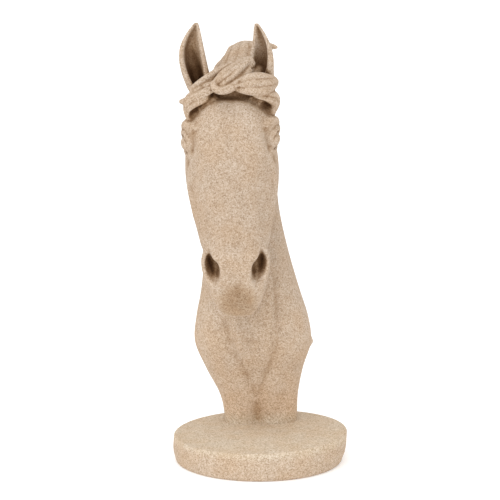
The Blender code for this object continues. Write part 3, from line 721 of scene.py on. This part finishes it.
def carve_head(clay):
    """Works both sides of the head, and then its middle."""
    head_axes = np.array([HEAD_ACROSS, HEAD_BACK, HEAD_DOWN])
    for side in (-1.0, 1.0):
        head = clay.on_head(side)
        clay.soften(head, *EAR_ROOT)
        clay.soften(head, *JAW_CREASE)
        clay.find_normals()
        (across, back, down), radii, height = ORBIT
        orbit = (across, back, down - ORBIT_RAISED * side)
        clay.press(head, orbit, radii, height + ORBIT_FULLER * side)
        clay.press(head, *HOLLOW_OVER_EYE)
        clay.stroke(head, EYE_HOLLOW)
        clay.press(head, *NOTCH_UNDER_EYE)
        clay.find_normals()
        head = clay.on_head(side)
        clay.stroke(head, BROW)
        clay.stroke(seen_from_side(head), EYE_RIM, UPPER_LID, LOWER_LID, LID_FOLD)
        clay.press(head, *BALL_OF_EYE)
        clay.press(head, *NOTCH_OVER_WING)
        clay.stroke(head, FACIAL_CREST)
        clay.press(head, *CHEEK)
        clay.stroke(head, JAW_GROOVE)
        clay.press(head, *SIDE_OF_NOSE)
        clay.press(head, *WING_OF_NOSTRIL)
        clay.stroke(head, LIP_RIM)
        clay.find_normals()
        head = clay.on_head(side)
        inward = np.array(NOSTRIL_INWARD) * np.array([side, 1.0, 1.0]) @ head_axes
        down = np.array(NOSTRIL_DOWN) + np.array([NOSTRIL_LEAN * side, 0.0, 0.0])
        clay.bore(head, NOSTRIL, NOSTRIL_ACROSS, down, NOSTRIL_RADII, NOSTRIL_FLAP, inward, NOSTRIL_DEPTH)
        clay.stroke(head, MOUTH, NOSTRIL_TAIL)
    clay.stroke(clay.places, UNDER_FORELOCK)
    clay.soften(clay.places, *END_OF_CREVICE)
    clay.find_normals()
    head = clay.on_head(1.0)
    clay.stroke(head, NOSE_GROOVE)
    clay.press(head, *UPPER_LIP)
    clay.press(head, *CHIN)
    clay.press(head, *BETWEEN_JAW_BONES)
    clay.find_normals()


# Drawn on the neck, rows are: x, y, z, width, height; both grooves end in the recess above the base
RIGHT_THROAT_GROOVE = (
    (-28.3, 0, 104, 5, -1.2), (-27, 0.5, 86, 5.2, -3), (-24.5, 1.5, 74, 5.4, -3.6),
    (-19.7, 4, 61, 5.4, -3.4), (-12.5, 9, 46, 5.4, -3.2), (-5, 14, 33, 5.4, -3), (-2.5, 18, 22, 5.6, -3),
)
LEFT_THROAT_GROOVE = (
    (12.5, 30, 179, 4.4, -2.2), (13, 14, 145, 4.6, -3.2), (13.8, 2, 115, 5, -3.6), (13.8, -2, 89, 5, -3.6),
    (13, 1, 70, 5.2, -3.4), (7.5, 6, 52, 5.2, -3.2), (1.5, 12, 36, 5.2, -3), (-2.5, 18, 22, 5.6, -3),
)
THROAT_RIDGE = ((-22, -2, 104, 3, 0.8), (-20.5, -1, 84, 3, 1.8), (-16.5, 1, 70, 3, 1.4))
FOOT_RECESS = (
    (-2.5, 18, 22, 5.6, -3), (-2.2, 20, 12, 6.2, -3.4), (-2.0, 22, 4, 6.5, -3.6), (-2.0, 24, -1, 6.2, -3.4),
)
THROAT_PANEL = ((-6, -2, 100, 11, -2.4), (-6, 0, 74, 10, -3.2), (-4, 8, 48, 6, -2.2))
# The corner where the mane ends is pressed: middle (x, y, z), radii, height
MANE_CORNER = ((41.8, 40, 65.5), (3.5, 8, 3), 2.0)
# The fold of the left ear's flap, drawn in rows as above
EAR_FOLD = (
    (2.2, -17, 297, 1.5, -1.6), (4.4, -17, 301.2, 1.5, -2), (7, -17, 301.4, 1.5, -2),
    (9.4, -16, 299.5, 1.5, -1.4),
)


def carve_neck_and_ear(clay):
    clay.stroke(clay.places, THROAT_PANEL)
    clay.find_normals()
    clay.stroke(clay.places, RIGHT_THROAT_GROOVE, LEFT_THROAT_GROOVE, FOOT_RECESS)
    clay.stroke(clay.places, THROAT_RIDGE)
    clay.press(clay.places, *MANE_CORNER)
    clay.stroke(clay.places, EAR_FOLD)
    clay.find_normals()


clay = Clay(sculpture.data)
carve_head(clay)
carve_neck_and_ear(clay)
even_skin(sculpture, smoothings=1)

# Casting
# The carved model is moulded together with its base, and both are cast solid in one pour of resin
# and sand, so no seam runs between the neck and the base.
# The figure's faces in the cast, which are triangles, while the clay's have four sides
CAST_FACES = 188000
# Where two faces meet more sharply than this, the edge between them stays sharp
SHARP_ANGLE = math.radians(62.0)
thinned = sculpture.modifiers.new("thinned", "DECIMATE")
thinned.ratio = min(1.0, CAST_FACES / (2.0 * len(sculpture.data.polygons)))
thinned.use_collapse_triangulate = True
apply_modifiers(sculpture)
base_form = round_base()
bmesh.ops.translate(base_form, vec=FIGURE_PLACE, verts=base_form.verts[:])
bmesh.ops.scale(base_form, vec=(MM, MM, MM), verts=base_form.verts[:])
base = bpy.data.objects.new("round_base", bpy.data.meshes.new("round_base"))
base_form.to_mesh(base.data)
base_form.free()
bpy.context.collection.objects.link(base)
cast_together = sculpture.modifiers.new("cast_together", "BOOLEAN")
cast_together.operation = "UNION"
cast_together.solver = "EXACT"
cast_together.object = base
apply_modifiers(sculpture)
bpy.data.objects.remove(base)
sculpture.data.shade_smooth()
sculpture.data.set_sharp_from_angle(angle=SHARP_ANGLE)

# Hollows and creases
# Painted shade in brown lies where little light reaches: in the hollows, in the ears, the nostrils,
# the corners of the eyes and between the strands of the locks. Ridges get a painted highlight.
SHADE_REACH = 16.0 * MM
# In how many ways each place looks out, from how high over the skin, and how steeply at least
LOOKS = 26
LOOK_FROM = 0.4 * MM
STEEP_ENOUGH = 0.1
# Rounds of smoothing that show up the creases, and that spread the painted shade
CREASE_ROUNDS = 8
SHADE_ROUNDS = 2
# Painted shade on the head, rows are: across, back, down, width, strength
BESIDE_EYE = ((26, 2, 48, 4, 0.05), (28, 4.5, 55, 4, 0.12), (30.5, 7.5, 64, 2.6, 0.25))
LEFT_EDGE_OF_FACE = (
    (33, 36, 94, 4, 0.3), (31.5, 32, 112, 4, 0.4), (28.5, 28, 130, 4, 0.4), (26.5, 24, 144, 4, 0.25),
)
# Painted shade on the front of the upper lip, which faces downward: reach across, middle down, reach down,
# strength, and how far back it goes
LIP_FRONT = (19.0, 182.0, 16.0, 0.46, 30.0)
# Painted shade on the throat, where it faces downward, rows are: x, y, z, width, strength
THROAT_SHADE = ((-6, -2, 100, 8, 0.15), (-6, 0, 74, 9, 0.3), (-4, 8, 48, 6, 0.25))
# Painted shadow above the line under the forelock: how high, width, and the depth of that line at which it
# is at full strength
FORELOCK_SHADE = (0.6, 3.2, 7.5)
# Painted shade in the shell of an ear, behind its path, from one of its places and up to another: how far
# behind, width, and strength, which is below zero where the painted shade is made lighter
RIGHT_EAR_SHADE = (2, 7, 5.0, 5.5, 0.16)
LEFT_EAR_SHADE = (1, 7, 5.0, 7.0, -0.22)
# The share of the painted shade on the lower neck, and between which heights it rises to all of it
LOWER_NECK_SHARE = 0.55
SHADE_RISES_FROM = 60.0
FULL_SHADE_FROM = 150.0
# The base has no painted shade, and it is full from this height over it
SHADE_FADE_HEIGHT = 3.0


def hollows(mesh):
    """For each place, the share of short looks outward that meet the casting again."""
    mesh.calc_loop_triangles()
    places = [vert.co.copy() for vert in mesh.vertices]
    skin = BVHTree.FromPolygons(places, [tuple(face.vertices) for face in mesh.loop_triangles])
    # The looks are spread evenly over a ball, each a golden turn on from the last
    looks = []
    for number in range(LOOKS):
        up = 1.0 - (2.0 * number + 1.0) / LOOKS
        turn = number * math.pi * (3.0 - math.sqrt(5.0))
        out = math.sqrt(1.0 - up * up)
        looks.append(Vector((out * math.cos(turn), out * math.sin(turn), up)))
    shares = []
    for vert in mesh.vertices:
        start = vert.co + vert.normal * LOOK_FROM
        met = seen = 0.0
        for look in looks:
            facing = look.dot(vert.normal)
            if facing > STEEP_ENOUGH:
                seen += facing
                if skin.ray_cast(start, look, SHADE_REACH)[0] is not None:
                    met += facing
        shares.append(met / seen)
    return np.array(shares)


def creases(casting):
    """How deep each place lies under the smoothed skin, in millimetres: below zero on a ridge."""
    smoothed = casting.places.copy()
    for _ in range(CREASE_ROUNDS):
        smoothed = 0.5 * smoothed + 0.5 * casting.neighbour_mean(smoothed)
    return np.sum((smoothed - casting.places) * casting.normals, axis=1)


def ear_shade(path, shade):
    """A stroke of painted shade in the shell of an ear."""
    first, end, behind, width, strength = shade
    return [(x, y + behind, z, width, strength) for x, y, z in path[first:end]]


def painted_shade(casting):
    """How much more painted shade there is than a hollow gets by itself: below zero where it is less.

    More lies under the forelock, in the right ear, on the throat, beside the eyes, along the left
    edge of the face and on the front of the upper lip, and less in the left ear.
    edge of the face and on the front of the upper lip, and less in the left ear.
    """
    above, width, full_depth = FORELOCK_SHADE
    left = casting.along(
        casting.places,
        [(x, y, z + above, width, -depth / full_depth) for x, y, z, _, depth in UNDER_FORELOCK],
        ear_shade(RIGHT_EAR, RIGHT_EAR_SHADE),
        ear_shade(LEFT_EAR, LEFT_EAR_SHADE),
        THROAT_SHADE,
    )
    for side in (-1.0, 1.0):
        left += casting.along(casting.on_head(side), BESIDE_EYE)
    head = casting.on_head(1.0)
    left += casting.along(head, LEFT_EDGE_OF_FACE)
    across, back, down = head.T
    reach_across, middle, reach_down, strength, reach_back = LIP_FRONT
    far = (across / reach_across) ** 2 + ((down - middle) / reach_down) ** 2
    return left + strength * np.exp(-(far**2)) * (back < reach_back)


def shade_share_by_height(casting):
    """The share of the painted shade at each place: less on the lower neck than on the head, none on the
    base.
    """
    height = casting.places[:, 2] - casting.places[:, 0] * TOP_TILT
    rise = np.clip((height - SHADE_RISES_FROM) / (FULL_SHADE_FROM - SHADE_RISES_FROM), 0.0, 1.0)
    share = LOWER_NECK_SHARE + (1.0 - LOWER_NECK_SHARE) * rise
    return share * np.clip(height / SHADE_FADE_HEIGHT, 0.0, 1.0)


# Painted shade: each place's occlusion and crease, with the strokes above, are kept as values on the skin
casting = Clay(sculpture.data)
shade_share = shade_share_by_height(casting)
hollow = hollows(sculpture.data) * shade_share + painted_shade(casting)
for name, values in (("hollow", hollow), ("crease", creases(casting) * shade_share)):
    shading = values[:, None]
    for _ in range(SHADE_ROUNDS):
        shading = 0.5 * shading + 0.5 * casting.neighbour_mean(shading)
    sculpture.data.attributes.new(name, "FLOAT", "POINT").data.foreach_set("value", shading.ravel())


# The cast sandstone
# Resin filled with sand: a pale warm beige with grains of a millimetre, some darker and some lighter,
# dull all over and a little rough to the touch. Over it lie painted light by height, painted shade in
# the hollows and creases, and a painted highlight on the ridges.
DULLNESS = 0.92
SHINE = 0.2
GRAIN_SCALE = 1350.0
GRIT_SCALE = 700.0
GRIT_DETAIL = 4.0
GRIT_SHARE = 0.4
CLOUD_SCALE = 55.0
CLOUD_DETAIL = 3.0
GRAIN_RELIEF = 0.3 * MM
GRAIN_RELIEF_STRENGTH = 0.5
# Painted light changes from the foot upwards over this height, and a crease's painted shade over this depth
PAINTED_LIGHT_HEIGHT = 350.0 * MM
CREASE_DEPTH = 0.25
# Stops of a ramp are: its place from 0 to 1, and its colour
GRAIN_TONES = (
    (0.12, (0.36, 0.247, 0.153)), (0.32, (0.574, 0.434, 0.313)), (0.55, (0.674, 0.534, 0.407)),
    (0.85, (0.827, 0.70, 0.574)),
)
CLOUD_TINT = ((0.35, (0.97, 0.92, 0.86)), (0.65, (1.0, 1.0, 1.0)))
# Painted light: the neck is lighter towards its foot and the base's top is light, where the head shades
# them, and the base's side is darker, where the glowing floor lights it
PAINTED_LIGHT_BY_HEIGHT = (
    (0.045, (0.85, 0.85, 0.845)), (0.06, (0.93, 0.985, 1.0)), (0.075, (0.94, 0.985, 0.99)),
    (0.1, (1.0, 0.985, 0.965)), (0.2, (0.84, 0.83, 0.82)), (0.35, (0.80, 0.795, 0.79)),
    (0.48, (0.757, 0.752, 0.752)),
)
# Painted shade in brown: the more a place is closed in, the darker
HOLLOW_SHADE = (
    (0.26, (1.0, 1.0, 1.0)), (0.43, (0.8, 0.73, 0.64)), (0.6, (0.42, 0.32, 0.22)),
    (0.8, (0.2, 0.125, 0.06)),
)
# Painted shade in the creases, and a painted highlight on the ridges, which stay at full brightness
CREASE_SHADE_AND_HIGHLIGHT = (
    (0.0, (1.0, 1.0, 1.0)), (0.5, (0.93, 0.92, 0.91)), (0.7, (0.7, 0.63, 0.55)),
    (1.0, (0.38, 0.29, 0.2)),
)


def sandstone():
    stone = bpy.data.materials.new("cast_sandstone")
    stone.use_nodes = True
    nodes = stone.node_tree.nodes
    links = stone.node_tree.links
    shader = nodes["Principled BSDF"]
    shader.inputs["Roughness"].default_value = DULLNESS
    shader.inputs["Specular IOR Level"].default_value = SHINE
    place = nodes.new("ShaderNodeTexCoord")

    def texture(kind, scale, detail):
        node = nodes.new(kind)
        node.inputs["Scale"].default_value = scale
        node.inputs["Detail"].default_value = detail
        links.new(place.outputs["Object"], node.inputs["Vector"])
        return node

    def attribute(name):
        node = nodes.new("ShaderNodeAttribute")
        node.attribute_name = name
        return node.outputs["Fac"]

    def share_of_range(value, low, high):
        node = nodes.new("ShaderNodeMapRange")
        node.inputs["From Min"].default_value = low
        node.inputs["From Max"].default_value = high
        links.new(value, node.inputs["Value"])
        return node.outputs["Result"]

    def ramp(value, stops):
        node = nodes.new("ShaderNodeValToRGB")
        elements = node.color_ramp.elements
        while len(elements) < len(stops):
            elements.new(0.5)
        for element, (position, color) in zip(elements, stops):
            element.position = position
            element.color = (*color, 1.0)
        links.new(value, node.inputs["Fac"])
        return node.outputs["Color"]

    def mixed(kind, way, factor, a, b):
        node = nodes.new("ShaderNodeMix")
        node.data_type = kind
        node.blend_type = way
        node.inputs["Factor"].default_value = factor
        ends = [socket for socket in node.inputs if socket.enabled and socket.name in "AB"]
        links.new(a, ends[0])
        links.new(b, ends[1])
        return next(socket for socket in node.outputs if socket.enabled)

    def multiplied(a, b):
        return mixed("RGBA", "MULTIPLY", 1.0, a, b)

    grains = texture("ShaderNodeTexVoronoi", GRAIN_SCALE, 0.0)
    grain = nodes.new("ShaderNodeSeparateColor")
    links.new(grains.outputs["Color"], grain.inputs["Color"])
    grit = texture("ShaderNodeTexNoise", GRIT_SCALE, GRIT_DETAIL)
    clouds = texture("ShaderNodeTexNoise", CLOUD_SCALE, CLOUD_DETAIL)
    speckle = mixed("FLOAT", "MIX", GRIT_SHARE, grain.outputs["Red"], grit.outputs["Fac"])
    tones = ramp(speckle, GRAIN_TONES)
    tint = ramp(clouds.outputs["Fac"], CLOUD_TINT)
    height = nodes.new("ShaderNodeSeparateXYZ")
    links.new(place.outputs["Object"], height.inputs["Vector"])
    # The stone's own colour under the painted light by height
    height_light = ramp(share_of_range(height.outputs["Z"], 0.0, PAINTED_LIGHT_HEIGHT), PAINTED_LIGHT_BY_HEIGHT)
    lit_stone = multiplied(multiplied(tones, tint), height_light)
    # Painted shade in the hollows and creases, and a painted highlight on the ridges
    hollow_shade = ramp(attribute("hollow"), HOLLOW_SHADE)
    crease_shade_and_highlight = ramp(share_of_range(attribute("crease"), -CREASE_DEPTH, CREASE_DEPTH), CREASE_SHADE_AND_HIGHLIGHT)
    shaded = multiplied(lit_stone, multiplied(hollow_shade, crease_shade_and_highlight))
    links.new(shaded, shader.inputs["Base Color"])
    bump = nodes.new("ShaderNodeBump")
    bump.inputs["Strength"].default_value = GRAIN_RELIEF_STRENGTH
    bump.inputs["Distance"].default_value = GRAIN_RELIEF
    links.new(speckle, bump.inputs["Height"])
    links.new(bump.outputs["Normal"], shader.inputs["Normal"])
    return stone


sculpture.data.materials.clear()
sculpture.data.materials.append(sandstone())
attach(sculpture, "root")
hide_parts("horse_head_sculpture")

# The floor, the light and the camera
# A plain white floor under an even white sky, a broad soft light above the camera, and the camera
# at the height and distance from which the sculpture is seen a little from above.
WHITE = (1.0, 1.0, 1.0, 1.0)
FLOOR_SIZE = 400.0
PAPER_COLOUR = (0.93, 0.93, 0.93, 1.0)
PAPER_DULLNESS = 0.9
PAPER_GLOW = 0.2
SKY_STRENGTH = 1.0
SUN_STRENGTH = 1.1
SUN_SPREAD = math.radians(60.0)
SUN_TURN = (math.radians(42.0), 0.0, math.radians(-22.0))
CAMERA_PLACE = (-0.00695, -1.33, 0.374)
CAMERA_PITCH = math.radians(8.715)
FOCAL_PIXELS = 1700.0
IMAGE_PIXELS = 500.0
SENSOR_WIDTH = 36.0

ground = bmesh.new()
bmesh.ops.create_grid(ground, x_segments=1, y_segments=1, size=FLOOR_SIZE / 2.0)
floor = bpy.data.objects.new("floor", bpy.data.meshes.new("floor"))
ground.to_mesh(floor.data)
ground.free()
bpy.context.collection.objects.link(floor)
paper = bpy.data.materials.new("white_paper")
paper.use_nodes = True
paper_shader = paper.node_tree.nodes["Principled BSDF"]
paper_shader.inputs["Base Color"].default_value = PAPER_COLOUR
paper_shader.inputs["Roughness"].default_value = PAPER_DULLNESS
paper_shader.inputs["Emission Color"].default_value = WHITE
paper_shader.inputs["Emission Strength"].default_value = PAPER_GLOW
floor.data.materials.append(paper)

sky = bpy.data.worlds.new("white_sky")
sky.use_nodes = True
sky.node_tree.nodes["Background"].inputs["Color"].default_value = WHITE
sky.node_tree.nodes["Background"].inputs["Strength"].default_value = SKY_STRENGTH
bpy.context.scene.world = sky

key = bpy.data.objects.new("key_light", bpy.data.lights.new("key_light", "SUN"))
key.data.energy = SUN_STRENGTH
key.data.angle = SUN_SPREAD
key.rotation_euler = SUN_TURN
bpy.context.collection.objects.link(key)

camera = bpy.data.objects.new("camera", bpy.data.cameras.new("camera"))
camera.data.sensor_width = SENSOR_WIDTH
camera.data.lens = FOCAL_PIXELS / IMAGE_PIXELS * SENSOR_WIDTH
camera.location = CAMERA_PLACE
camera.rotation_euler = (math.pi / 2.0 - CAMERA_PITCH, 0.0, 0.0)
bpy.context.collection.objects.link(camera)
bpy.context.scene.camera = camera
bpy.context.scene.view_settings.view_transform = "Standard"

bpy.context.view_layer.update()
